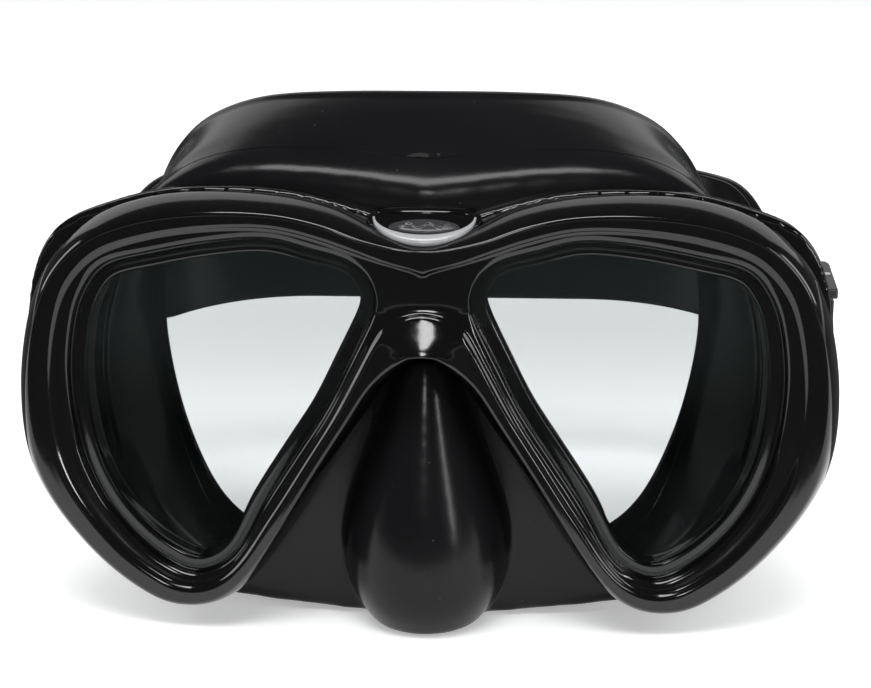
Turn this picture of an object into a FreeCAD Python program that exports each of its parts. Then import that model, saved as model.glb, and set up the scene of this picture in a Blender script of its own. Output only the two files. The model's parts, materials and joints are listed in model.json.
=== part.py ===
"""Twin-lens diving mask with a silicone skirt, swivel buckles and a rear strap.

Millimetres. X runs across the mask, -Y is the front (water side), +Z is up.
The shapes are drawn with Y = 0 at the bezel's front edge and moved at the end, so that
the origin is the centre of the whole mask's footprint, on the surface it stands on.
"Left" is the -X side.
"""
import FreeCAD
import Part
import math
import os

V = FreeCAD.Vector

# ---- driving dimensions -------------------------------------------------------------
WRAP = 6.0             # each half of the front is turned back this many degrees
BEZEL_DEPTH = 10.0     # front edge to the joint with the rear frame
REAR_DEPTH = 5.0       # rear frame, front to back
GLASS = 4.0            # tempered pane thickness
GLASS_FRONT = 3.5      # pane's front face behind the bezel's front edge
GLASS_MARGIN = 2.0     # pane beyond the window all round
GASKET_MARGIN = 3.2    # gasket beyond the window all round
COLLAR_MARGIN = 2.2    # skirt collar beyond the window all round
LIP_MARGIN = 3.0       # skirt's clamped lip beyond the window all round
SKIN = 2.0             # silicone wall
FACE_RADIUS = 96.0     # sealing flange follows a cylinder like a face
FACE_FRONT = 42.0      # flange's foremost line, on the centre plane
SHANK, HEAD = 0.9, 1.7             # screw radii
HEAD_DEPTH = 1.4                   # screw head sunk into the rear frame
ARM_IN, ARM_OUT = 76.2, 78.4       # frame arm beside each buckle
ARM_RADIUS = 6.5
STRAP_THICK = 2.2
STRAP_WIDTH = 20.0     # at the buckles
PAD_WIDTH = 36.0       # at the back of the head
PIVOT_Y, PIVOT_Z = 30.0, 53.5     # buckle axle, parallel to X
STRAP_RISE = 6.0       # degrees the strap and its buckles rise towards the back
ROLLER_X, ROLLER_Y = 78.4, 42.0   # roller axis, parallel to Z
LEVER_X, LEVER_Y = 84.6, 49.0     # release lever's pin, parallel to Z
KEEPER_Y = 68.0
STRAIGHT_END = 78.0    # where the strap's arms start to curve
STRAP_BEND = 42.0      # middle radius of the strap's rear corners

# Right-hand outlines as (x, z). Each closed curve runs through its points.
FRAME = [(-8, 83), (0, 82.8), (10, 85.2), (19, 88.5), (30, 90.6), (44, 91), (58, 89.4), (70, 84.8),
         (78.6, 76.6), (83.4, 66), (86, 51), (85.2, 36), (80, 24.4), (69.8, 12.4), (58.6, 4.6),
         (50, 2.8), (42, 5), (35, 11.6), (27, 23), (20.5, 33.6), (14, 44), (8, 53), (0, 59), (-8, 60)]
REAR = [(-8, 85.6), (0, 85.6), (10, 86.8), (20, 89.4), (30, 91.2), (44, 91.6), (58, 90), (69.4, 86.6),
        (76, 83.6), (80.4, 79), (83.2, 72), (84.8, 63), (85, 51), (84.2, 36), (79.2, 25), (69, 13.4),
        (58, 6), (50, 4.4), (43, 6.2), (36.4, 12), (28.4, 23.2), (21.8, 34), (15.4, 44.4), (9.4, 53.6),
        (0, 61), (-8, 62)]
WINDOW = [(70.6, 69.6), (66, 76), (57, 79), (46, 81.2), (34, 82.9), (22, 80.6), (13, 77.2),
          (10, 71.6), (13, 62.6), (18, 52), (26.4, 38.2), (34.6, 24.8), (40, 16), (47.8, 12),
          (55.6, 15), (64, 22.6), (69.6, 32), (73, 44), (73.4, 56)]

# Skirt outlines, right half of each from the top centre to the bottom centre.
SKIRT_FRONT = [(0, 85), (18, 86.6), (38, 88.6), (60, 87.6), (75, 80), (82.4, 64), (83, 45),
               (78.4, 25), (65.6, 9.4), (49, 5.4), (30, 4), (14, 2), (0, 1.4)]
SKIRT_MIDDLE = [(0, 106), (18, 105.2), (36, 102.4), (49, 96.6), (56.8, 88.4), (62.8, 76), (67.6, 62),
                (68.6, 48), (66, 32), (58, 14), (45, 3), (28, -1), (14, -1.4), (0, -1.4)]
SKIRT_REAR = [(0, 110.6), (18, 110), (34, 107.4), (48, 102.6), (57, 94.6), (62, 82.6), (65.4, 63),
              (63.4, 44), (55, 20), (43, 4), (27, -1), (14, -1.4), (0, -1.4)]
FACE_OPENING = [(0, 97), (25, 96), (41, 91.4), (52, 82.4), (59, 66), (59.6, 50), (56, 31),
                (48, 11.4), (36, 7.4), (18, 6.4), (0, 6.4)]
SKIRT_Y = (8.0, 38.0, 68.0)

# Nose pocket: height, half width, front, back.
NOSE = [(-1.5, 9, 6, 26), (5, 14.4, 0.6, 32), (14, 17, -1, 37), (29, 14.6, 1.4, 37),
        (44, 9.6, 5.4, 32), (57, 4.6, 10, 24)]

SCREWS = [(46, 86.1), (80, 45), (49.4, 7.4), (4, 76)]


def closed_curve(points, y):
    curve = Part.BSplineCurve()
    curve.interpolate(Points=[V(x, y, z) for x, z in points], PeriodicFlag=True)
    return curve


def grow(points, step):
    """The same outline moved outwards by step, point by point along its normals."""
    curve = closed_curve(points, 0)
    turn = sum(a[0] * b[1] - b[0] * a[1] for a, b in zip(points, points[1:] + points[:1]))
    side = step if turn > 0 else -step
    moved = []
    for x, z in points:
        along = curve.tangent(curve.parameter(V(x, 0, z)))[0]
        moved.append((x + along.z * side, z - along.x * side))
    return moved


def whole(half):
    return half + [(-x, z) for x, z in reversed(half[1:-1])]


def wire(points, y):
    return Part.Wire(closed_curve(points, y).toShape())


def prism(points, y_front, y_back):
    return Part.Face(wire(points, y_front)).extrude(V(0, y_back - y_front, 0))


def loft(sections):
    return Part.makeLoft([wire(points, y) for points, y in sections], True, False)


def box(x, y, z):
    return Part.makeBox(x[1] - x[0], y[1] - y[0], z[1] - z[0], V(x[0], y[0], z[0]))


def rod(radius, start, end):
    axis = end - start
    return Part.makeCylinder(radius, axis.Length, start, axis)


def turned(shape):
    """Turn a right-hand shape back by the wrap angle."""
    return shape.rotated(V(0, 0, 0), V(0, 0, 1), WRAP)


def mirrored(shape):
    return shape.mirror(V(0, 0, 0), V(1, 0, 0))


def both_halves(shape):
    """Turn a right-hand shape back, trim it at the centre plane and join its mirror image."""
    right = turned(shape).common(box((0, 200), (-50, 200), (-50, 200)))
    return right.fuse(mirrored(right)).removeSplitter()


def ahead_of(depth):
    """Everything in front of the wrapped plane at this depth."""
    return both_halves(box((-20, 150), (-80, depth), (-40, 160)))


# ---- front -------------------------------------------------------------------------
def make_front_frame():
    body = loft([(FRAME, BEZEL_DEPTH), (grow(FRAME, -0.8), 4.5), (grow(FRAME, -2.0), 1.2),
                 (grow(FRAME, -3.0), 0)])
    funnel = loft([(grow(WINDOW, 4.6), -0.5), (grow(WINDOW, 1.6), 1.6), (grow(WINDOW, 0.6), 2.4),
                   (WINDOW, GLASS_FRONT + 0.5)])
    pocket = prism(grow(WINDOW, GASKET_MARGIN), GLASS_FRONT, BEZEL_DEPTH + 1)
    half = body.cut(funnel).cut(pocket)
    for x, z in SCREWS:
        half = half.cut(rod(SHANK, V(x, 5, z), V(x, BEZEL_DEPTH + 1, z)))
    return both_halves(half)


def make_rear_frame():
    back = BEZEL_DEPTH + REAR_DEPTH
    ring = prism(REAR, BEZEL_DEPTH, back).cut(prism(grow(WINDOW, COLLAR_MARGIN), 5, back + 1))
    for x, z in SCREWS:
        ring = ring.cut(rod(SHANK, V(x, 5, z), V(x, back + 1, z)))
        ring = ring.cut(rod(HEAD, V(x, back - HEAD_DEPTH, z), V(x, back + 1, z)))
    frame = both_halves(ring)
    arm = box((ARM_IN, ARM_OUT), (20, PIVOT_Y), (PIVOT_Z - ARM_RADIUS, PIVOT_Z + ARM_RADIUS))
    arm = arm.fuse(rod(ARM_RADIUS, V(ARM_IN, PIVOT_Y, PIVOT_Z), V(ARM_OUT, PIVOT_Y, PIVOT_Z)))
    arm = arm.cut(ahead_of(BEZEL_DEPTH + 1))
    return frame.fuse([arm, mirrored(arm)]).removeSplitter()


def make_screws():
    back = BEZEL_DEPTH + REAR_DEPTH
    screws = []
    for x, z in SCREWS:
        shank = rod(SHANK, V(x, 5.2, z), V(x, back - HEAD_DEPTH, z))
        head = rod(HEAD, V(x, back - HEAD_DEPTH, z), V(x, back - 0.2, z))
        slot = box((x - 2, x + 2), (back - 0.7, back), (z - 0.25, z + 0.25))
        screws.append(turned(shank.fuse(head).cut(slot)))
    return Part.makeCompound(screws + [mirrored(s) for s in screws])


def make_lens():
    pane = prism(grow(WINDOW, GLASS_MARGIN), GLASS_FRONT, GLASS_FRONT + GLASS)
    return turned(pane)


def make_gasket():
    back = GLASS_FRONT + GLASS
    ring = prism(grow(WINDOW, GASKET_MARGIN), GLASS_FRONT, back)
    return turned(ring.cut(prism(grow(WINDOW, GLASS_MARGIN), GLASS_FRONT - 1, back + 1)))


# ---- medallion ---------------------------------------------------------------------
BADGE_LOW = V(0, 3.2, 82.0)       # middle of the ring's lower edge
BADGE_TILT = 36.0                 # plate's slope above the horizontal
BADGE_MIDDLE = 8.0                # from that edge to the ring's tips, up the slope


def oval(half_width, half_depth, middle, low, high):
    """An oval lying flat, its middle this far up the slope."""
    edge = Part.Wire(Part.Ellipse(V(0, 0, 0), half_width, half_depth).toShape())
    solid = Part.Face(edge).extrude(V(0, 0, high - low))
    solid.translate(V(0, middle, low))
    return solid


def seat_badge(shape, frames):
    shape = shape.rotated(V(0, 0, 0), V(1, 0, 0), BADGE_TILT)
    shape.translate(BADGE_LOW)
    for frame in frames:
        shape = shape.cut(frame)
    return shape


def make_badge_plate(frames):
    plate = oval(11.4, 8.8, 8.4, -1.2, 0).common(box((-20, 20), (-5, BADGE_MIDDLE + 1), (-5, 5)))
    return seat_badge(plate, frames)


def make_badge_ring(frames):
    ring = oval(10.4, 8.0, BADGE_MIDDLE, 0, 1.0).cut(oval(9.9, 5.1, BADGE_MIDDLE, -1, 3))
    return seat_badge(ring.common(box((-20, 20), (-5, BADGE_MIDDLE), (-5, 5))), frames)


def make_badge_disc(frames):
    return seat_badge(oval(7.1, 2.05, 5.3, 0, 0.6), frames)


# ---- skirt -------------------------------------------------------------------------
def nose_section(height, half_width, front, back):
    middle = (front + back) / 2
    reach = (back - front) / 2
    points = []
    for step in range(12):
        angle = math.radians(30 * step)
        points.append(V(half_width * math.cos(angle), middle - reach * math.sin(angle), height))
    curve = Part.BSplineCurve()
    curve.interpolate(Points=points, PeriodicFlag=True)
    return Part.Wire(curve.toShape())


def nose_solid(inset):
    sections = []
    for index, (height, half_width, front, back) in enumerate(NOSE):
        rise = inset * 1.6 if index == 0 else 0
        rise = -inset if index == len(NOSE) - 1 else rise
        sections.append(nose_section(height + rise, half_width - inset, front + inset, back - inset))
    return Part.makeLoft(sections, True, False)


def skirt_solid(inset):
    halves = (SKIRT_FRONT, SKIRT_MIDDLE, SKIRT_REAR)
    return loft([(grow(whole(half), -inset), y) for half, y in zip(halves, SKIRT_Y)])


def face_cylinder(extra):
    axis_foot = V(0, FACE_FRONT + FACE_RADIUS, -50)
    return Part.makeCylinder(FACE_RADIUS + extra, 250, axis_foot)


def above(height):
    return box((-100, 100), (-50, 120), (height, 150))


def make_skirt():
    back = BEZEL_DEPTH + REAR_DEPTH
    outer = skirt_solid(0).cut(ahead_of(back)).cut(face_cylinder(0))
    outer = outer.fuse(nose_solid(0)).common(above(0))
    inner = skirt_solid(SKIN).cut(ahead_of(back + SKIN)).cut(face_cylinder(SKIN))
    inner = inner.fuse(nose_solid(SKIN)).common(above(SKIN))
    collar = prism(grow(WINDOW, COLLAR_MARGIN), GLASS_FRONT + GLASS, back + SKIN / 2)
    lip = prism(grow(WINDOW, LIP_MARGIN), GLASS_FRONT + GLASS, BEZEL_DEPTH)
    collar = turned(collar.fuse(lip).cut(prism(WINDOW, 0, back + 3 * SKIN)))
    window = turned(prism(grow(WINDOW, COLLAR_MARGIN / 2), back - 1, back + 3 * SKIN))
    skirt = outer.cut(inner).cut(prism(whole(FACE_OPENING), FACE_FRONT - 3 * SKIN, 90))
    return skirt.cut([window, mirrored(window)]).fuse([collar, mirrored(collar)])


# ---- right-hand buckle ---------------------------------------------------------------
STRAP_GAP = 0.3                          # between strap, roller and keeper
TURN = 1.5 + STRAP_GAP                   # strap's inside radius round the roller
EYE = 6.0                                # radius of the plate round the axle
PLATE = (78.8, 82.4)                     # eye plate, between the frame arm and the cap
CHEEK_X, CHEEK_Y = (74.0, 86.0), (38.0, 58.0)
CHEEK = (0.4, 2.6)                       # cheek's faces beyond the strap's edge
PIN, LEVER_PIN = 0.8, 1.0                # steel pin radii
CLEARANCE = 0.05


def make_buckle():
    reach = STRAP_WIDTH / 2
    outside = (PIVOT_Z - reach - CHEEK[1], PIVOT_Z + reach + CHEEK[1])
    upper = (PIVOT_Z + reach + CHEEK[0], PIVOT_Z + reach + CHEEK[1])
    eye = rod(EYE, V(PLATE[0], PIVOT_Y, PIVOT_Z), V(PLATE[1], PIVOT_Y, PIVOT_Z))
    waist = box(PLATE, (PIVOT_Y, 36.6), (PIVOT_Z - EYE, PIVOT_Z + EYE))
    head = box(PLATE, (34, 36.6), outside)
    cheek = box(CHEEK_X, CHEEK_Y, upper)
    rear_corners = [e for e in cheek.Edges if e.BoundBox.YMin > 57 and e.BoundBox.ZLength > 1]
    cheek = cheek.makeFillet(1.6, rear_corners)
    cheek = cheek.fuse(box(PLATE, (34, 38.2), upper))
    lower = cheek.mirror(V(0, 0, PIVOT_Z), V(0, 0, 1))
    floor = box((CHEEK_X[0] - 1.4, CHEEK_X[0]), (46, 57), outside)
    body = eye.fuse([waist, head, cheek, lower, floor])
    body = body.cut(rod(3 + CLEARANCE, V(70, PIVOT_Y, PIVOT_Z), V(90, PIVOT_Y, PIVOT_Z)))
    body = body.cut(rod(PIN, V(ROLLER_X, ROLLER_Y, 40), V(ROLLER_X, ROLLER_Y, 90)))
    body = body.cut(rod(LEVER_PIN, V(LEVER_X, LEVER_Y, 40), V(LEVER_X, LEVER_Y, 90)))
    return body.removeSplitter()


def make_axle():
    return rod(3, V(78.4, PIVOT_Y, PIVOT_Z), V(82.8, PIVOT_Y, PIVOT_Z))


def make_axle_cap():
    cap = rod(4.8, V(82.8, PIVOT_Y, PIVOT_Z), V(84, PIVOT_Y, PIVOT_Z))
    return cap.makeFillet(0.5, [e for e in cap.Edges if e.BoundBox.XMin > 83.9])


def make_roller():
    low, high = PIVOT_Z - STRAP_WIDTH / 2 + 0.1, PIVOT_Z + STRAP_WIDTH / 2 - 0.1
    roller = rod(1.5, V(ROLLER_X, ROLLER_Y, low), V(ROLLER_X, ROLLER_Y, high))
    return roller.cut(rod(PIN + CLEARANCE, V(ROLLER_X, ROLLER_Y, 40), V(ROLLER_X, ROLLER_Y, 90)))


def cross_pin(radius, x, y):
    reach = STRAP_WIDTH / 2 + CHEEK[1]
    return rod(radius, V(x, y, PIVOT_Z - reach), V(x, y, PIVOT_Z + reach))


def make_lever():
    low, high = PIVOT_Z - 8.5, PIVOT_Z + 8.5
    plate = box((84.2, 85.8), (LEVER_Y - 6.5, LEVER_Y + 11), (low, high))
    tooth = box((82.9, 84.4), (LEVER_Y - 6.5, LEVER_Y - 5.3), (low + 1, high - 1))
    barrel = rod(1.7, V(LEVER_X, LEVER_Y, low), V(LEVER_X, LEVER_Y, high))
    lever = plate.fuse([tooth, barrel])
    for rib in range(4):
        y = LEVER_Y + 4 + 2 * rib
        lever = lever.fuse(box((85.8, 86.2), (y, y + 0.9), (low + 2, high - 2)))
    bore = LEVER_PIN + CLEARANCE
    lever = lever.cut(rod(bore, V(LEVER_X, LEVER_Y, 40), V(LEVER_X, LEVER_Y, 90)))
    spring_room = rod(2.2, V(LEVER_X, LEVER_Y, PIVOT_Z - 3.6), V(LEVER_X, LEVER_Y, PIVOT_Z + 3.6))
    return lever.cut(spring_room).removeSplitter()


def make_spring():
    pitch, turns = 0.9, 6
    helix = Part.makeHelix(pitch, pitch * turns, 1.5)
    wire_section = Part.Wire(Part.makeCircle(0.3, V(1.5, 0, 0), V(0, 1, 0)))
    coil = Part.Wire(helix).makePipeShell([wire_section], True, True)
    coil.translate(V(LEVER_X, LEVER_Y, PIVOT_Z - pitch * turns / 2))
    return coil


# ---- strap -------------------------------------------------------------------------
def arm_path(offset):
    """Strap's side outline in plan, offset from its middle line, from arm to the back."""
    x = ROLLER_X - TURN - STRAP_THICK / 2 + offset
    corner_x, corner_y = x - offset - STRAP_BEND, STRAIGHT_END
    radius = STRAP_BEND + offset
    diagonal = radius * math.sqrt(0.5)
    arc_middle = V(corner_x + diagonal, corner_y + diagonal, 0)
    start, turn_in = V(x, ROLLER_Y, 0), V(x, corner_y, 0)
    turn_out = V(corner_x, corner_y + radius, 0)
    edges = [Part.LineSegment(start, turn_in).toShape(),
             Part.Arc(turn_in, arc_middle, turn_out).toShape(),
             Part.LineSegment(turn_out, V(0, corner_y + radius, 0)).toShape()]
    return edges, start, V(0, corner_y + radius, 0)


def make_strap():
    half = STRAP_THICK / 2
    outer_edges, outer_start, outer_end = arm_path(half)
    inner_edges, inner_start, inner_end = arm_path(-half)
    closing = [Part.LineSegment(outer_end, inner_end).toShape(),
               Part.LineSegment(inner_start, outer_start).toShape()]
    plan = Part.Face(Part.Wire(Part.__sortEdges__(outer_edges + inner_edges + closing)))
    band = plan.extrude(V(0, 0, PAD_WIDTH))
    band.translate(V(0, 0, PIVOT_Z - PAD_WIDTH / 2))
    rear = STRAIGHT_END + STRAP_BEND + 10
    low, high = PIVOT_Z - STRAP_WIDTH / 2, PIVOT_Z + STRAP_WIDTH / 2
    pad_low, pad_high = PIVOT_Z - PAD_WIDTH / 2, PIVOT_Z + PAD_WIDTH / 2
    side = [(ROLLER_Y - 1, low), (80, low), (92, low - 2.6), (104, pad_low + 1), (rear, pad_low),
            (rear, pad_high), (104, pad_high - 1), (92, high + 2.6), (80, high), (ROLLER_Y - 1, high)]
    profile = Part.Face(Part.makePolygon([V(-5, y, z) for y, z in side + side[:1]]))
    band = band.common(profile.extrude(V(100, 0, 0)))
    slot = box((-5, 42), (100, 140), (PIVOT_Z - 3, PIVOT_Z + 3))
    slot = slot.fuse(rod(3, V(42, 100, PIVOT_Z), V(42, 140, PIVOT_Z)))
    band = band.cut(slot)
    turn = rod(TURN + STRAP_THICK, V(ROLLER_X, ROLLER_Y, low), V(ROLLER_X, ROLLER_Y, high))
    turn = turn.cut(rod(TURN, V(ROLLER_X, ROLLER_Y, low - 1), V(ROLLER_X, ROLLER_Y, high + 1)))
    turn = turn.cut(box((60, 100), (ROLLER_Y, 80), (low - 1, high + 1)))
    tail = box((ROLLER_X + TURN, ROLLER_X + TURN + STRAP_THICK), (ROLLER_Y, 80), (low, high))
    half_strap = band.fuse([turn, tail])
    return half_strap.fuse(mirrored(half_strap)).removeSplitter()


def risen(shape):
    """Turn a strap-side shape, drawn level, up about the buckle axles."""
    return shape.rotated(V(0, PIVOT_Y, PIVOT_Z), V(1, 0, 0), STRAP_RISE)


def make_keeper():
    inner_x = ROLLER_X - TURN - STRAP_THICK - STRAP_GAP
    outer_x = ROLLER_X + TURN + STRAP_THICK + STRAP_GAP
    half = STRAP_WIDTH / 2 + STRAP_GAP
    wall = 1.6
    loop = box((inner_x - wall, outer_x + wall), (KEEPER_Y - 4, KEEPER_Y + 4),
               (PIVOT_Z - half - wall, PIVOT_Z + half + wall))
    loop = loop.makeFillet(1.2, [e for e in loop.Edges if abs(e.BoundBox.YLength - 8) < 0.01])
    return loop.cut(box((inner_x, outer_x), (0, 200), (PIVOT_Z - half, PIVOT_Z + half)))


# ---- build -------------------------------------------------------------------------
STRAP_BACK = 122.48      # strap's rearmost line once it has risen
NOSE_TIP = -1.1
ORIGIN = V(0, (NOSE_TIP + STRAP_BACK) / 2, 0)


def main():
    front_frame, rear_frame = make_front_frame(), make_rear_frame()
    frames = (front_frame, rear_frame)
    parts = {
        "front_frame": front_frame,
        "rear_frame": rear_frame,
        "frame_screws": make_screws(),
        "badge_plate": make_badge_plate(frames),
        "badge_ring": make_badge_ring(frames),
        "badge_disc": make_badge_disc(frames),
        "skirt": make_skirt(),
        "strap": risen(make_strap()),
    }
    paired = {
        "lens": make_lens(),
        "lens_gasket": make_gasket(),
        "buckle_body": risen(make_buckle()),
        "buckle_axle": make_axle(),
        "axle_cap": make_axle_cap(),
        "roller": risen(make_roller()),
        "roller_pin": risen(cross_pin(PIN, ROLLER_X, ROLLER_Y)),
        "release_lever": risen(make_lever()),
        "lever_pin": risen(cross_pin(LEVER_PIN, LEVER_X, LEVER_Y)),
        "lever_spring": risen(make_spring()),
        "strap_keeper": risen(make_keeper()),
    }
    for name, shape in paired.items():
        parts[name + "_right"] = shape
        parts[name + "_left"] = mirrored(shape)
    os.makedirs("parts", exist_ok=True)
    for name, shape in parts.items():
        placed = shape.copy()
        placed.translate(-ORIGIN)
        placed.exportStep("parts/%s.step" % name)
        size = placed.BoundBox
        print("%-20s solids %d valid %s volume %.0f  x %.1f..%.1f y %.1f..%.1f z %.1f..%.1f" % (
            name, len(placed.Solids), placed.isValid(), placed.Volume, size.XMin, size.XMax,
            size.YMin, size.YMax, size.ZMin, size.ZMax))


main()
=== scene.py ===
import json
from math import cos, hypot, pi, radians, sin, sqrt

import bmesh
import bpy
from mathutils import Matrix, Vector
from mathutils.bvhtree import BVHTree


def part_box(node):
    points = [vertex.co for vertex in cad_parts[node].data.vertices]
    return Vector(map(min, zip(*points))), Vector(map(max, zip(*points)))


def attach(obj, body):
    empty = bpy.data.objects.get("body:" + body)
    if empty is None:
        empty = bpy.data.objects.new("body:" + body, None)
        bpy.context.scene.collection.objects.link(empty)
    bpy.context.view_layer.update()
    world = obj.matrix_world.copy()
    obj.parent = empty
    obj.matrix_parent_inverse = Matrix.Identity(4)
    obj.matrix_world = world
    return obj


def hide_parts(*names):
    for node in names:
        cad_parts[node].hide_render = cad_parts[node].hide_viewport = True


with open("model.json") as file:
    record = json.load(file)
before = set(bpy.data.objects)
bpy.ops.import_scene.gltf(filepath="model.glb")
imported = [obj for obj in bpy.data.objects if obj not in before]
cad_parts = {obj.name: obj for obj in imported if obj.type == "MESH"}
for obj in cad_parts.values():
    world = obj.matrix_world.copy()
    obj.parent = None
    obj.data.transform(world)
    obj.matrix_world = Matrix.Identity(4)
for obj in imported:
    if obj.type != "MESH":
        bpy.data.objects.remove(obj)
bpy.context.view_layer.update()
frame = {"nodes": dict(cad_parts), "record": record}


def boxMiddle(node):
    low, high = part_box(node)
    return (low + high) / 2


# Shapes are drawn in millimetres with y = 0 at the bezel's front edge.
mm = 0.001
axleDrawnY = 30.0
shiftY = boxMiddle("buckle_axle_right").y - axleDrawnY * mm


# ---------- camera, floor, light ----------
cameraPlace = {
    "turn": 3.0, "rise": 14.0, "distance": 0.459, "lens": 95.8,
    "target": (0.0027, shiftY, 0.0631),
}


def makeCamera():
    place = cameraPlace
    turn, rise = radians(place["turn"]), radians(place["rise"])
    away = Vector((sin(turn) * cos(rise), -cos(turn) * cos(rise), sin(rise)))
    target = Vector(place["target"])
    data = bpy.data.cameras.new("camera")
    data.lens = place["lens"]
    data.sensor_width = 36
    camera = bpy.data.objects.new("camera", data)
    camera.location = target + away * place["distance"]
    camera.rotation_euler = away.to_track_quat("Z", "Y").to_euler()
    bpy.context.collection.objects.link(camera)
    bpy.context.scene.camera = camera


def softbox(name, place, aim, size, power):
    data = bpy.data.lights.new(name, "AREA")
    data.shape = "RECTANGLE"
    data.size, data.size_y = size
    data.energy = power
    lamp = bpy.data.objects.new(name, data)
    lamp.location = place
    lamp.rotation_euler = (Vector(place) - Vector(aim)).to_track_quat("Z", "Y").to_euler()
    bpy.context.collection.objects.link(lamp)
    return lamp


studio = {
    "world": 0.07,
    # lights the floor evenly without showing in the gloss
    "wash": {"place": (0, 0.6, 2.2), "aim": (0, 0.6, 0), "size": (6.5, 6.5), "watts": 110},
    "boxes": [
        # name, place, aim, size, watts
        ("key", (-0.05, -0.50, 1.00), (0, 0, 0.05), (0.70, 0.34), 8.0),
        ("backCard", (0.0, 1.05, 0.62), (0, 0, 0.05), (2.0, 0.7), 3.2),
        ("leftWall", (-1.0, 0.05, 0.40), (0, 0, 0.06), (0.5, 0.5), 3.2),
        ("rightWall", (1.0, 0.05, 0.40), (0, 0, 0.06), (0.5, 0.5), 3.2),
        ("rightStrip", (0.62, -0.60, 0.22), (0, 0, 0.05), (0.05, 0.34), 1.1),
        ("frontWindow", (-0.02, -1.15, 0.52), (0, 0, 0.05), (0.16, 0.20), 1.6),
    ],
    # dark cards on the floor that only reflections see, by their nearest and furthest y
    "cards": [(-0.155, -1.1), (0.035, 2.2)],
    "cardHalf": 1.0,
    "cardLift": 0.0006,
    "floorHalf": 3.0,
    "floorDrop": 0.0002,
}


def makeStudio():
    world = bpy.data.worlds.new("studio")
    bpy.context.scene.world = world
    bpy.context.scene.view_settings.view_transform = "Standard"
    world.use_nodes = True
    back = world.node_tree.nodes["Background"]
    back.inputs["Color"].default_value = (0.97, 0.98, 1.0, 1)
    back.inputs["Strength"].default_value = studio["world"]
    for name, place, aim, size, power in studio["boxes"]:
        softbox(name, place, aim, size, power)
    wash = studio["wash"]
    lamp = softbox("wash", wash["place"], wash["aim"], wash["size"], wash["watts"])
    lamp.visible_glossy = False


makeCamera()
makeStudio()
print("camera and lights ready")


# ---------- shader helper ----------
class Wire:
    def __init__(self, kit, socket):
        self.kit, self.socket = kit, socket

    def work(self, operation, first, second):
        return self.kit.add("ShaderNodeMath", {"operation": operation}, {0: first, 1: second})

    def __add__(self, other):
        return self.work("ADD", self, other)

    __radd__ = __add__

    def __rsub__(self, other):
        return self.work("SUBTRACT", other, self)

    def __mul__(self, other):
        return self.work("MULTIPLY", self, other)

    __rmul__ = __mul__


class Finish:
    def __init__(self, name, **fixed):
        self.material = bpy.data.materials.new(name)
        self.material.use_nodes = True
        self.tree = self.material.node_tree
        self.shader = self.tree.nodes["Principled BSDF"]
        for socket, value in fixed.items():
            self.shader.inputs[socket.replace("_", " ")].default_value = value
        self.place = self.add("ShaderNodeTexCoord", output="Object")

    def add(self, kind, settings=None, inputs=None, output=0):
        node = self.tree.nodes.new(kind)
        for key, value in (settings or {}).items():
            setattr(node, key, value)
        for key, value in (inputs or {}).items():
            self.feed(node.inputs[key], value)
        return Wire(self, node.outputs[output])

    def feed(self, socket, value):
        if isinstance(value, Wire):
            self.tree.links.new(value.socket, socket)
        else:
            socket.default_value = value

    def noise(self, scale, detail=3.0, roughness=0.5, stretch=(1, 1, 1)):
        place = self.add("ShaderNodeMapping", None, {"Vector": self.place, "Scale": stretch})
        return self.add("ShaderNodeTexNoise", None,
                        {"Vector": place, "Scale": scale, "Detail": detail, "Roughness": roughness})

    def ramp(self, value, low, high):
        return self.add("ShaderNodeMapRange", {"interpolation_type": "SMOOTHSTEP"},
                        {"Value": value, "From Min": low, "From Max": high})

    def mixColour(self, share, first, second):
        node = self.tree.nodes.new("ShaderNodeMix")
        node.data_type = "RGBA"
        self.feed(node.inputs["Factor"], share)
        for socket, value in ((node.inputs[6], first), (node.inputs[7], second)):
            self.feed(socket, value if isinstance(value, Wire) else (*value, 1))
        return Wire(self, node.outputs[2])

    def bump(self, height, strength, depth):
        normal = self.add("ShaderNodeBump", None,
                          {"Height": height, "Strength": strength, "Distance": depth})
        self.feed(self.shader.inputs["Normal"], normal)

    def show(self, **inputs):
        for socket, value in inputs.items():
            self.feed(self.shader.inputs[socket.replace("_", " ")], value)
        return self.material


def glossBlack():
    kit = Finish("glossBlackPlastic", IOR=1.5)
    cloud = kit.noise(60, 4)
    grime = kit.noise(900, 3, 0.6)
    hair = kit.noise(700, 2, 0.5, (1, 1, 9))
    scratch = kit.ramp(hair, 0.69, 0.74)
    kit.bump(kit.noise(120, 2) + grime * 0.03, 0.05, 0.0006)
    tone = kit.mixColour(cloud, (0.0012, 0.0012, 0.0014), (0.003, 0.003, 0.0033))
    return kit.show(Base_Color=kit.mixColour(scratch * 0.25, tone, (0.03, 0.03, 0.03)),
                    Roughness=cloud * 0.06 + kit.ramp(grime, 0.5, 0.8) * 0.05 + scratch * 0.12 + 0.07)


def satinBlack():
    kit = Finish("satinBlackPlastic", IOR=1.5)
    grain = kit.noise(2600, 2, 0.6)
    cloud = kit.noise(90, 3)
    kit.bump(grain, 0.25, 0.0001)
    tone = kit.mixColour(cloud, (0.009, 0.009, 0.010), (0.017, 0.017, 0.018))
    return kit.show(Base_Color=tone, Roughness=grain * 0.14 + cloud * 0.08 + 0.28)


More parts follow.
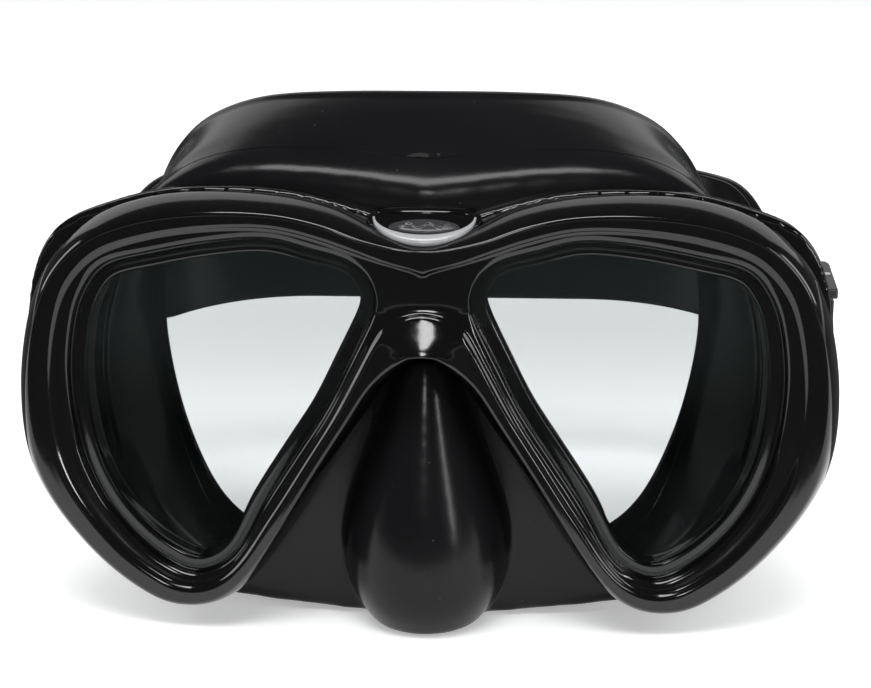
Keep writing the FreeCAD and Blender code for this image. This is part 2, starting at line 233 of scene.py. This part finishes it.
def silicone():
    kit = Finish("blackSilicone", IOR=1.36, Specular_IOR_Level=0.38)
    cloud = kit.noise(45, 4)
    grain = kit.noise(3200, 2, 0.6)
    dust = kit.add("ShaderNodeTexVoronoi", {"feature": "F1"},
                   {"Vector": kit.place, "Scale": 420.0, "Randomness": 1.0}, "Distance")
    speck = (1 - kit.ramp(dust, 0.035, 0.075)) * kit.ramp(kit.noise(150, 2), 0.52, 0.6)
    kit.bump(kit.noise(260, 3) * 0.7 + grain * 0.12, 0.12, 0.0004)
    tone = kit.mixColour(cloud, (0.003, 0.003, 0.0035), (0.007, 0.007, 0.0078))
    return kit.show(Base_Color=kit.mixColour(speck * 0.35, tone, (0.16, 0.16, 0.16)),
                    Roughness=cloud * 0.08 + grain * 0.05 + speck * 0.15 + 0.15)


def gasketRubber():
    kit = Finish("gasketRubber", IOR=1.5)
    grain = kit.noise(1800, 3)
    kit.bump(grain, 0.3, 0.0001)
    return kit.show(Base_Color=kit.mixColour(grain, (0.008, 0.008, 0.008), (0.02, 0.02, 0.02)),
                    Roughness=grain * 0.2 + 0.4)


def lensGlass():
    # clear glass under a thin glossy film of random smears, with painted shade: the dark gloss takes over
    # more of the glass towards the top, so the view through it darkens upwards
    kit = Finish("lensGlass")
    tree = kit.tree
    output = tree.nodes["Material Output"]
    clear = tree.nodes.new("ShaderNodeBsdfTransparent")
    clear.inputs["Color"].default_value = (0.80, 0.82, 0.82, 1)
    gloss = kit.shader
    smear = kit.noise(38, 4, 0.6, (1, 1, 2.2))
    kit.feed(gloss.inputs["Roughness"], kit.ramp(smear, 0.5, 0.75) * 0.05 + 0.015)
    kit.feed(gloss.inputs["Base Color"], kit.mixColour(smear, (0.02, 0.025, 0.024), (0.05, 0.06, 0.058)))
    edge = kit.add("ShaderNodeFresnel", None, {"IOR": 1.45})
    height = kit.add("ShaderNodeSeparateXYZ", None, {"Vector": kit.place}, "Z")
    # random smear film plus painted shade: a share of dark gloss that grows towards the top of the lens
    smearAndTopShade = kit.ramp(smear, 0.55, 0.9) * 0.006 + kit.ramp(height, 0.040, 0.066) * 0.12
    mix = tree.nodes.new("ShaderNodeMixShader")
    kit.feed(mix.inputs[0], edge * 0.6 + smearAndTopShade)
    tree.links.new(clear.outputs[0], mix.inputs[1])
    tree.links.new(gloss.outputs[0], mix.inputs[2])
    tree.links.new(mix.outputs[0], output.inputs["Surface"])
    return kit.material


def steel(name, low, high):
    kit = Finish(name, Metallic=1.0)
    brushed = kit.noise(900, 3, 0.6, (1, 1, 14))
    kit.bump(brushed, 0.1, 0.0001)
    return kit.show(Base_Color=kit.mixColour(brushed, low, high), Roughness=brushed * 0.16 + 0.2)


def badgeGrey():
    kit = Finish("badgeGrey", IOR=1.5, Coat_Weight=0.3, Coat_Roughness=0.1)
    cloud = kit.noise(260, 3)
    kit.bump(kit.noise(1500, 2), 0.05, 0.0001)
    return kit.show(Base_Color=kit.mixColour(cloud, (0.27, 0.275, 0.28), (0.34, 0.345, 0.35)),
                    Roughness=cloud * 0.1 + 0.22)


def badgeDark():
    kit = Finish("badgeDark", IOR=1.5)
    grain = kit.noise(2400, 2)
    kit.bump(grain, 0.2, 0.0001)
    return kit.show(Base_Color=kit.mixColour(grain, (0.018, 0.018, 0.02), (0.035, 0.035, 0.038)),
                    Roughness=grain * 0.15 + 0.25)


def paleFloor():
    kit = Finish("paleFloor", Emission_Color=(1, 1, 1, 1), Emission_Strength=0.36)
    paper = kit.noise(30, 3)
    return kit.show(Base_Color=kit.mixColour(paper, (0.80, 0.805, 0.81), (0.83, 0.835, 0.84)),
                    Roughness=paper * 0.1 + 0.5)


finishes = {
    "gloss_black": glossBlack(), "matte_black": satinBlack(), "silicone": silicone(),
    "gasket_rubber": gasketRubber(), "lens_glass": lensGlass(), "badge_grey": badgeGrey(),
    "badge_dark": badgeDark(), "steel": steel("pinSteel", (0.50, 0.50, 0.51), (0.66, 0.66, 0.67)),
    "spring_steel": steel("springSteel", (0.42, 0.42, 0.43), (0.60, 0.60, 0.61)),
}


def makeFloor():
    bm = bmesh.new()
    bmesh.ops.create_grid(bm, x_segments=4, y_segments=4, size=studio["floorHalf"])
    mesh = bpy.data.meshes.new("floor")
    bm.to_mesh(mesh)
    bm.free()
    mesh.materials.append(paleFloor())
    floor = bpy.data.objects.new("floor", mesh)
    floor.location.z = -studio["floorDrop"]
    bpy.context.collection.objects.link(floor)


def makeCards():
    kit = Finish("cardCloth")
    weave = kit.noise(400, 2)
    cloth = kit.show(Base_Color=kit.mixColour(weave, (0.03, 0.03, 0.03), (0.04, 0.04, 0.04)),
                     Roughness=weave * 0.1 + 0.8)
    half, lift = studio["cardHalf"], studio["cardLift"]
    bm = bmesh.new()
    for near, far in studio["cards"]:
        corners = ((-half, near), (half, near), (half, far), (-half, far))
        bm.faces.new([bm.verts.new((x, y, lift)) for x, y in corners])
    bmesh.ops.recalc_face_normals(bm, faces=bm.faces)
    mesh = bpy.data.meshes.new("cards")
    bm.to_mesh(mesh)
    bm.free()
    mesh.materials.append(cloth)
    cards = bpy.data.objects.new("cards", mesh)
    bpy.context.collection.objects.link(cards)
    for ray in ("camera", "diffuse", "shadow", "transmission"):
        setattr(cards, "visible_" + ray, False)


makeFloor()
makeCards()
slotOf = {part["node"]: part["material_slot"] for part in frame["record"]["subparts"]}
for node, thing in frame["nodes"].items():
    finish = finishes[slotOf[node]]
    if not thing.material_slots:
        thing.data.materials.append(finish)
    for place in thing.material_slots:
        place.material = finish
print("materials ready on", len(slotOf), "frame nodes")


# ---------- mesh helpers ----------
def easeStep(low, high, value):
    share = min(max((value - low) / (high - low), 0), 1)
    return share * share * (3 - 2 * share)


def smoothRow(points, steps):
    # a closed curve through the points
    count = len(points)
    row = []
    for index in range(count):
        four = [points[(index + k) % count] for k in (-1, 0, 1, 2)]
        for step in range(steps):
            t = step / steps
            weights = (-t + 2 * t * t - t ** 3, 2 - 5 * t * t + 3 * t ** 3,
                       t + 4 * t * t - 3 * t ** 3, t ** 3 - t * t)
            row.append(tuple(sum(w * p[axis] for w, p in zip(weights, four)) / 2
                             for axis in range(len(points[0]))))
    return row


def addLoop(bm, points):
    verts = [bm.verts.new(point) for point in points]
    return [bm.edges.new(pair) for pair in zip(verts, verts[1:] + verts[:1])]


def bridgeRows(bm, rows, closeTube=False):
    loops = [addLoop(bm, row) for row in rows]
    for first, second in zip(loops, loops[1:] + (loops[:1] if closeTube else [])):
        bmesh.ops.bridge_loops(bm, edges=first + second)


def relax(bm, verts, passes, axes="xyz"):
    for count in range(passes):
        bmesh.ops.smooth_vert(bm, verts=verts, factor=0.5, use_axis_x="x" in axes,
                              use_axis_y="y" in axes, use_axis_z="z" in axes)


def closeEnds(bm):
    bmesh.ops.holes_fill(bm, edges=[edge for edge in bm.edges if edge.is_boundary], sides=0)


def makePiece(bm, name, body, slotName, nodes=(), clean=True):
    if clean:
        bmesh.ops.remove_doubles(bm, verts=bm.verts, dist=0.001)
        bmesh.ops.recalc_face_normals(bm, faces=bm.faces)
    bmesh.ops.scale(bm, vec=(mm, mm, mm), verts=bm.verts)
    bmesh.ops.translate(bm, vec=(0, shiftY, 0), verts=bm.verts)
    mesh = bpy.data.meshes.new(name)
    bm.to_mesh(mesh)
    bm.free()
    mesh.polygons.foreach_set("use_smooth", [True] * len(mesh.polygons))
    mesh.materials.append(finishes[slotName])
    piece = bpy.data.objects.new(name, mesh)
    bpy.context.collection.objects.link(piece)
    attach(piece, body)
    if nodes:
        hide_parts(*nodes)
    return piece


def copyOfNode(node):
    bm = bmesh.new()
    bm.from_mesh(frame["nodes"][node].data)
    bmesh.ops.remove_doubles(bm, verts=bm.verts, dist=0.00001)
    bmesh.ops.translate(bm, vec=(0, -shiftY, 0), verts=bm.verts)
    bmesh.ops.scale(bm, vec=(1 / mm, 1 / mm, 1 / mm), verts=bm.verts)
    return bm


def moulded(bm, voxel, passes):
    # melts touching solids into one moulding and rounds its edges
    mesh = bpy.data.meshes.new("melt")
    bm.to_mesh(mesh)
    bm.free()
    blank = bpy.data.objects.new("melt", mesh)
    bpy.context.collection.objects.link(blank)
    melt = blank.modifiers.new("melt", "REMESH")
    melt.mode = "VOXEL"
    melt.voxel_size = voxel
    graph = bpy.context.evaluated_depsgraph_get()
    melted = bpy.data.meshes.new_from_object(blank.evaluated_get(graph))
    bpy.data.objects.remove(blank)
    bm = bmesh.new()
    bm.from_mesh(melted)
    relax(bm, bm.verts, passes)
    return bm


# ---------- bezel ----------
bezel = {
    "wrap": radians(6.0),
    "centre": 8.0,        # rounds the middle of the wrap
    "depth": 10.0,
    "glass": 3.45,
    "pocket": 3.2,        # how far the seat of the glass reaches beyond the window
    "noseBulge": 3.1,
    # window x, z, outline x, z, crest and step distances in from the outline
    "stations": [
        (11.21, 75.03, -8, 83, 2.8, 13.0), (12.64, 76.86, 0, 82.8, 2.7, 8.8),
        (16.21, 79.08, 10, 85.2, 2.6, 5.8), (22.61, 80.74, 19, 88.5, 2.6, 5.6),
        (31.99, 82.75, 30, 90.6, 2.6, 5.4), (44.00, 81.64, 44, 91, 2.9, 6.1),
        (55.98, 79.19, 58, 89.4, 3.2, 6.8), (65.02, 76.64, 70, 84.8, 3.2, 6.6),
        (69.63, 71.60, 78.6, 76.6, 3.3, 6.9), (72.39, 63.99, 83.4, 66, 3.6, 7.5),
        (73.52, 52.02, 86, 51, 4.0, 8.4), (71.73, 37.98, 85.2, 36, 4.2, 9.1),
        (67.04, 26.98, 80, 24.4, 4.1, 8.9), (60.09, 18.48, 69.8, 12.4, 3.7, 7.7),
        (53.13, 13.50, 58.6, 4.6, 3.3, 7.0), (47.82, 12.00, 50, 2.8, 3.0, 6.3),
        (42.58, 13.83, 42, 5, 2.7, 5.8), (38.18, 18.27, 35, 11.6, 2.4, 4.9),
        (33.02, 27.71, 27, 23, 2.4, 4.8), (26.75, 37.67, 20.5, 33.6, 2.4, 4.7),
        (20.23, 47.90, 14, 44, 2.4, 4.8), (15.36, 57.65, 8, 53, 2.6, 5.9),
        (11.79, 64.91, 0, 59, 3.0, 10.2), (10.50, 67.89, -8, 60, 3.2, 16.0),
        (10.03, 69.80, -8, 65, 3.0, 12.0), (9.97, 71.23, -8, 69.5, 2.8, 5.2),
        (10.17, 72.56, -8, 74, 2.8, 4.0), (10.59, 73.83, -8, 78.5, 2.8, 8.0),
    ],
    "alongSteps": 9,
    "acrossSteps": 3,
    "settle": 4,          # smoothing passes over the whole bezel
    # smoothing of the centre line, and of the little roof over the nose
    "centrePasses": 30, "centreHalf": 5, "centreDepth": 6,
    "roofHalf": 8, "roofDepth": 4, "roofLow": 60.5, "roofHigh": 75,
}


def wrapPoint(x, y, z):
    turn, centre = bezel["wrap"], bezel["centre"]
    far = hypot(x, centre)
    return (x * cos(turn) - y * sin(turn) * x / far, far * sin(turn) + y * cos(turn), z)


def bezelProfile(crest, step, width):
    # pairs of distance in from the outline and depth, from the back round the front to the glass
    lip, flat = width, min(crest * 1.5, step - 1.8)
    back, glass, seat = bezel["depth"], bezel["glass"], width + bezel["pocket"]
    return [
        (0.5, back), (0.12, 9.85), (0.0, 9.4), (0.08, 8.0), (crest * 0.17, 6.0), (crest * 0.38, 3.8),
        (crest * 0.62, 1.9), (crest * 0.80, 0.85), (crest * 0.92, 0.36), (crest * 1.02, 0.12),
        (crest * 1.16, 0.01), (flat, 0.0), ((flat + step - 1.2) / 2, 0.03), (step - 1.2, 0.05),
        (step - 0.6, 0.14), (step - 0.15, 0.36), (step + 0.2, 0.66), (step + 0.6, 0.92),
        (step + 1.1, 1.04), ((step + lip) / 2, 1.12), (lip - 1.15, 1.26), (lip - 0.7, 1.50),
        (lip - 0.3, 1.95), (lip - 0.06, 2.6), (lip, 3.1), (lip, glass),
        (lip + 1.5, glass), (seat, glass), (seat, 6.5), (seat, back), (lip * 0.5 + 1.5, back),
    ]


def noseLift(x, z, y):
    # the bridge over the nose stands proud like a little roof
    side = 1 - easeStep(0.0, 11.0, abs(x)) * 0.8 - easeStep(9.0, 20.0, abs(x)) * 0.2
    rise = 1 - easeStep(61.5, 69.3, z)
    return bezel["noseBulge"] * side * rise * (1 - easeStep(1.5, 8.0, y))


def bezelHalf(bm):
    rows = []
    for wx, wz, fx, fz, crest, step in smoothRow(bezel["stations"], bezel["alongSteps"]):
        width = hypot(wx - fx, wz - fz)
        ux, uz = (wx - fx) / width, (wz - fz) / width
        section = []
        for away, depth in smoothRow(bezelProfile(crest, step, width), bezel["acrossSteps"]):
            x, z = fx + ux * away, fz + uz * away
            section.append(wrapPoint(x, depth - noseLift(x, z, depth), z))
        rows.append(section)
    bridgeRows(bm, rows, closeTube=True)


def makeBezel():
    bm = bmesh.new()
    bezelHalf(bm)
    bmesh.ops.remove_doubles(bm, verts=bm.verts, dist=0.0005)
    everything = bm.verts[:] + bm.edges[:] + bm.faces[:]
    bmesh.ops.bisect_plane(bm, geom=everything, dist=0.0005, plane_co=(0, 0, 0), plane_no=(-1, 0, 0),
                           clear_outer=True)
    bmesh.ops.mirror(bm, geom=bm.verts[:] + bm.edges[:] + bm.faces[:], axis="X", merge_dist=0.01)
    centre, roof = [], []
    for vert in bm.verts:
        x, y, z = vert.co
        if abs(x) < bezel["centreHalf"] and y < bezel["centreDepth"]:
            centre.append(vert)
        if abs(x) < bezel["roofHalf"] and y < bezel["roofDepth"] and bezel["roofLow"] < z < bezel["roofHigh"]:
            roof.append(vert)
    relax(bm, bm.verts, bezel["settle"])
    for count in range(bezel["centrePasses"]):
        relax(bm, centre, 1, "y")
        relax(bm, roof, 1)
    makePiece(bm, "bezel", "mask", "gloss_black", ["front_frame"])


makeBezel()
print("bezel ready")


# ---------- skirt ----------
skirt = {
    "voxel": 0.9, "passes": 6, "cut": 38.0,
    # the forehead's front edge is rolled by smoothing above this height, between these depths
    "rollAbove": 84, "rollNear": 14, "rollFar": 34, "rollPasses": 50,
    "wall": 2.2, "bead": 0.5, "flange": 1.7,
    # the shell of the wall starts at this depth, further back at the sides, and it is a skin thicker than
    # the moulding; it lies a gap outside it at its front end, and takes its own shape over the blend
    "shellStart": 21.5, "shellTurn": 0.105, "shellRows": 16, "endReach": 0.6,
    "skin": 0.12, "gap": 0.08, "blend": 8,
    "rimGuess": 50.0, "rimTries": 5,
    "lean": -1.6, "leanNear": 25, "leanFar": 60,
    "faceRadius": 96.0, "faceFront": 42.0, "depths": (8.0, 38.0, 68.0), "outlineSteps": 8,
    # half outlines from the top centre to the bottom centre, at the three depths, and the face opening
    "front": [(0, 85), (18, 86.6), (38, 88.6), (60, 87.6), (75, 80), (82.4, 64), (83, 45),
              (78.4, 25), (65.6, 9.4), (49, 5.4), (30, 4), (14, 2), (0, 1.4)],
    "middle": [(0, 106), (18, 105.2), (36, 102.4), (49, 96.6), (56.8, 88.4), (62.8, 76), (67.6, 62),
               (68.6, 48), (66, 32), (58, 14), (45, 3), (28, -1), (0, -1.4)],
    "rear": [(0, 110.6), (18, 110), (34, 107.4), (48, 102.6), (57, 94.6), (62, 82.6), (65.4, 63),
             (63.4, 44), (55, 20), (43, 4), (27, -1), (14, -1.4), (0, -1.4)],
    "opening": [(0, 97), (17, 96.6), (31, 94.6), (42.5, 90.4), (50.5, 84), (56.6, 74), (59.6, 60),
                (59.3, 47), (55, 30), (47, 15), (36, 8.2), (19, 6.8), (0, 6.8)],
}


def wholeOutline(half):
    return half + [(-x, z) for x, z in reversed(half[1:-1])]


def faceDepth(x):
    radius = skirt["faceRadius"]
    return skirt["faceFront"] + radius - sqrt(radius * radius - min(abs(x), radius - 1) ** 2)


def wallPoint(station, depth, inset):
    (y1, y2, y3), (p1, p2, p3, inner) = skirt["depths"], station
    w1 = (depth - y2) * (depth - y3) / ((y1 - y2) * (y1 - y3))
    w2 = (depth - y1) * (depth - y3) / ((y2 - y1) * (y2 - y3))
    w3 = 1 - w1 - w2
    x = p1[0] * w1 + p2[0] * w2 + p3[0] * w3
    z = p1[1] * w1 + p2[1] * w2 + p3[1] * w3
    away = hypot(inner[0] - x, inner[1] - z)
    x, z = x + (inner[0] - x) / away * inset, z + (inner[1] - z) / away * inset
    return (x, depth, max(z, 0.0 if inset < 1 else skirt["wall"]))


def shellStart(x):
    return skirt["shellStart"] + abs(x) * skirt["shellTurn"]


def skirtSection(station):
    wall, flange, bead, skin = skirt["wall"], skirt["flange"], skirt["bead"], skirt["skin"]
    rows = skirt["shellRows"]
    rim = skirt["rimGuess"]
    for turn in range(skirt["rimTries"]):
        rim = faceDepth(wallPoint(station, rim, 0)[0])
    start = shellStart(wallPoint(station, 20.0, 0)[0])
    outer = [wallPoint(station, start + (rim - 2.6 - start) * k / rows, -skin) for k in range(rows + 1)]
    for ahead, inset in ((1.7, -bead * 0.8), (0.8, -bead), (0.15, 0.1), (-0.1, 1.0)):
        outer.append(wallPoint(station, rim - ahead, inset))
    (ox, oz), edge = station[3], outer[-1]
    face = []
    for k in range(1, 6):
        x, z = edge[0] + (ox - edge[0]) * k / 5.5, edge[2] + (oz - edge[2]) * k / 5.5
        face.append((x, faceDepth(x) + 0.1, z))
    face.append((ox, faceDepth(ox) - flange * 0.45, oz))
    under = [(x, y - flange, z) for x, y, z in reversed(face[:-1])]
    back = rim - wall - 0.6
    inner = [wallPoint(station, back - (back - start) * k / rows, wall + skin) for k in range(rows + 1)]
    return outer + face + under + inner


def hugMoulding(shell, moulding):
    # the shell lies a hair outside the moulding and meets it at its front edge
    tree = BVHTree.FromBMesh(moulding)
    for vert in shell.verts:
        if vert.co.y < skirt["cut"]:
            near, normal = tree.find_nearest(vert.co)[:2]
            start = shellStart(vert.co.x)
            loose = easeStep(start, start + skirt["blend"], vert.co.y)
            away = vert.co - near
            out = away.dot(normal)
            vert.co = near + (away - normal * out) * loose + normal * max(out * loose, skirt["gap"])
    # keeps the shading of the wall smooth up to the shell's front end
    for edge in shell.edges:
        if all(vert.co.y < shellStart(vert.co.x) + skirt["endReach"] for vert in edge.verts):
            edge.smooth = False


def makeSkirt():
    bm = copyOfNode("skirt")
    everything = bm.verts[:] + bm.edges[:] + bm.faces[:]
    bmesh.ops.bisect_plane(bm, geom=everything, dist=0.0001, plane_co=(0, skirt["cut"], 0),
                           plane_no=(0, 1, 0), clear_outer=True)
    bmesh.ops.triangle_fill(bm, use_beauty=True, edges=[edge for edge in bm.edges if edge.is_boundary])
    bm = moulded(bm, skirt["voxel"], skirt["passes"])
    bmesh.ops.recalc_face_normals(bm, faces=bm.faces)
    roll = [vert for vert in bm.verts
            if vert.co.z > skirt["rollAbove"] and skirt["rollNear"] < vert.co.y < skirt["rollFar"]]
    relax(bm, roll, skirt["rollPasses"])
    # the wall and its sealing flange, a skin thicker than the moulding they join
    names = ("front", "middle", "rear", "opening")
    outlines = [smoothRow(wholeOutline(skirt[name]), skirt["outlineSteps"]) for name in names]
    shell = bmesh.new()
    rows = [skirtSection(station) for station in zip(*outlines)]
    bridgeRows(shell, rows, closeTube=True)
    bmesh.ops.recalc_face_normals(shell, faces=shell.faces)
    hugMoulding(shell, bm)
    extra = bpy.data.meshes.new("shell")
    shell.to_mesh(extra)
    shell.free()
    bm.from_mesh(extra)
    for vert in bm.verts:
        vert.co.x += skirt["lean"] * easeStep(skirt["leanNear"], skirt["leanFar"], vert.co.y)
    print("skirt faces", len(bm.faces))
    makePiece(bm, "skirtMoulding", "mask", "silicone", ["skirt"], clean=False)


makeSkirt()
print("skirt ready")


# ---------- medallion ----------
badge = {
    "low": (0, 3.2, 82.0), "tilt": radians(36), "middle": 8.0,
    "outer": (10.4, 8.0), "inner": (9.9, 5.1), "disc": (7.1, 2.05, 5.3),
    "wave": {"height": 0.55, "pace": 1.5, "half": 0.42, "raise": 0.28, "fadeNear": 4.6, "fadeFar": 6.2},
    "shelf": {"half": 10.8, "y": 12.6, "z": 87.2, "radius": 1.15, "arch": 0.7, "sweep": 2.2, "stretch": 1.6},
}


def seatBadge(bm):
    bmesh.ops.rotate(bm, verts=bm.verts, cent=(0, 0, 0), matrix=Matrix.Rotation(badge["tilt"], 3, "X"))
    bmesh.ops.translate(bm, verts=bm.verts, vec=badge["low"])


def makeBadgeRing():
    bm = bmesh.new()
    rows = []
    steps, turns = 64, 16
    for k in range(steps + 1):
        angle = -pi + pi * k / steps
        outX, outY = badge["outer"][0] * cos(angle), badge["middle"] + badge["outer"][1] * sin(angle)
        inX, inY = badge["inner"][0] * cos(angle), badge["middle"] + badge["inner"][1] * sin(angle)
        thick = 0.25 + 0.95 * sin(-angle) ** 0.6 if 0 < k < steps else 0.25
        row = []
        for turn in range(turns):
            around = 2 * pi * turn / turns
            share = 0.5 - 0.5 * cos(around)
            lift = (abs(sin(around)) ** 0.75) * (1 if sin(around) > 0 else -0.35)
            row.append((outX + (inX - outX) * share, outY + (inY - outY) * share, thick * lift))
        rows.append(row)
    bridgeRows(bm, rows)
    closeEnds(bm)
    seatBadge(bm)
    makePiece(bm, "badgeRing", "mask", "badge_grey", ["badge_ring"])


def makeBadgeDisc():
    # an oval cushion with a raised wave across it
    bm = bmesh.new()
    half, deep, middle = badge["disc"]
    steps, rings = 72, 13
    angles = [2 * pi * k / steps for k in range(steps)]
    rows = []
    for ring in range(rings):
        share = 1 - ring / (rings - 0.5)
        rows.append([(half * share * cos(angle), deep * share * sin(angle), 0.6 * (1 - share ** 6))
                     for angle in angles])
    rows.insert(0, [(x, y, -0.3) for x, y, z in rows[0]])
    bridgeRows(bm, rows)
    closeEnds(bm)
    wave = badge["wave"]
    for vert in bm.verts:
        x, y, z = vert.co
        line = wave["height"] * sin(x * wave["pace"])
        fade = 1 - easeStep(wave["fadeNear"], wave["fadeFar"], abs(x))
        near = max(0, 1 - abs(y - line) / wave["half"]) * fade
        if z > 0:
            vert.co.z += wave["raise"] * easeStep(0, 1, near)
    bmesh.ops.translate(bm, verts=bm.verts, vec=(0, middle, 0.1))
    seatBadge(bm)
    makePiece(bm, "badgeDisc", "mask", "badge_dark", ["badge_disc"])


def makeBadgeShelf():
    # the rounded ledge above the medallion
    ledge = badge["shelf"]
    bm = bmesh.new()
    rows = []
    halfSteps, turns = 16, 20
    angles = [2 * pi * turn / turns for turn in range(turns)]
    for k in range(2 * halfSteps + 1):
        share = k / halfSteps - 1
        radius = ledge["radius"] * max(1 - abs(share) ** 8, 0.02) ** 0.5
        x, y = ledge["half"] * share, ledge["y"] + ledge["sweep"] * share * share
        z = ledge["z"] - ledge["arch"] * share * share
        rows.append([(x, y - radius * cos(angle) * ledge["stretch"], z + radius * sin(angle))
                     for angle in angles])
    bridgeRows(bm, rows)
    closeEnds(bm)
    makePiece(bm, "badgeLedge", "mask", "gloss_black")


makeBadgeRing()
makeBadgeDisc()
makeBadgeShelf()
print("medallion ready")


# ---------- hard mouldings with softened edges ----------
hardParts = [
    # node, body, voxel, passes
    ("rear_frame", "mask", 0.55, 3),
    ("badge_plate", "mask", 0.2, 3),
]
for side in ("left", "right"):
    hardParts += [
        ("buckle_body_" + side, "strap_set", 0.28, 3),
        ("release_lever_" + side, "lever_" + side, 0.2, 2),
        ("strap_keeper_" + side, "keeper_" + side, 0.28, 4),
        ("axle_cap_" + side, "mask", 0.2, 3),
    ]


def makeHardParts():
    for node, body, voxel, passes in hardParts:
        bm = moulded(copyOfNode(node), voxel, passes)
        print(node, "faces", len(bm.faces))
        makePiece(bm, node + "_moulding", body, slotOf[node], [node], clean=False)


makeHardParts()
print("hard parts ready")


# ---------- strap ----------
strap = {
    "thick": 2.2, "half": 10.0, "padHalf": 18.0, "back": 120.0, "bend": 42.0, "straight": 78.0,
    "arm": 75.5, "rollerX": 78.4, "rollerY": 42.0, "turn": 2.9, "height": 53.5, "rise": radians(6.0),
    "slotEnd": 44.0, "slotHalf": 3.0, "tailEnd": 80.0, "tailLength": 50.0,
    "padNear": 80.0, "padFar": 104.0, "columns": 360,
    # heights of the rows across the band, as shares of its half width; the slot lies between two of them
    "rows": [-1, -0.97, -0.88, -0.6, -0.34, 0.34, 0.6, 0.88, 0.97, 1], "slotRows": (4, 5),
}


def strapPath(along):
    # from the middle of the back round the corner, along the arm, round the roller and back as the tail
    side = 1 if along >= 0 else -1
    left = abs(along)
    flat = strap["arm"] - strap["bend"]
    arc = strap["bend"] * pi / 2
    arm = strap["straight"] - strap["rollerY"]
    radius = strap["turn"]
    turn = radius * pi
    if left < flat:
        x, y = left, strap["back"]
    elif left < flat + arc:
        angle = (left - flat) / strap["bend"]
        x, y = flat + strap["bend"] * sin(angle), strap["straight"] + strap["bend"] * cos(angle)
    elif left < flat + arc + arm:
        x, y = strap["arm"], strap["straight"] - (left - flat - arc)
    elif left < flat + arc + arm + turn:
        angle = (left - flat - arc - arm) / radius
        x, y = strap["rollerX"] - radius * cos(angle), strap["rollerY"] - radius * sin(angle)
    else:
        x, y = strap["rollerX"] + radius, strap["rollerY"] + left - flat - arc - arm - turn
    return x * side, y


def makeStrap():
    flat = strap["arm"] - strap["bend"]
    length = flat + strap["bend"] * pi / 2 + strap["straight"] - strap["rollerY"] + strap["turn"] * pi
    length += strap["tailEnd"] - strap["rollerY"]
    bm = bmesh.new()
    shares, slotRows = strap["rows"], strap["slotRows"]
    bmesh.ops.create_grid(bm, x_segments=strap["columns"], y_segments=len(shares) - 1, size=1)
    gone = []
    for vert in bm.verts:
        vert.co.z = round((vert.co.y + 1) / 2 * (len(shares) - 1))
        vert.co.x *= length
    for face in bm.faces:
        rows = {vert.co.z for vert in face.verts}
        if rows == set(slotRows) and abs(face.calc_center_median().x) < strap["slotEnd"]:
            gone.append(face)
    bmesh.ops.delete(bm, geom=gone, context="FACES")
    for vert in bm.verts:
        along, row = vert.co.x, int(vert.co.z)
        x, y = strapPath(along)
        half = strap["half"]
        if abs(along) < length - strap["tailLength"]:
            half += (strap["padHalf"] - strap["half"]) * easeStep(strap["padNear"], strap["padFar"], y)
        height = shares[row] * half
        if row in slotRows:
            height = (1 if row == slotRows[1] else -1) * strap["slotHalf"]
        vert.co = (x, y, strap["height"] + height)
    bmesh.ops.rotate(bm, verts=bm.verts, cent=(0, axleDrawnY, strap["height"]),
                     matrix=Matrix.Rotation(strap["rise"], 3, "X"))
    bmesh.ops.recalc_face_normals(bm, faces=bm.faces)
    piece = makePiece(bm, "strapBand", "strap_set", "silicone", ["strap"], clean=False)
    wall = piece.modifiers.new("wall", "SOLIDIFY")
    wall.thickness = strap["thick"] * mm
    wall.offset = 0
    rounding = piece.modifiers.new("round", "SUBSURF")
    rounding.levels = rounding.render_levels = 1


makeStrap()
print("strap ready")
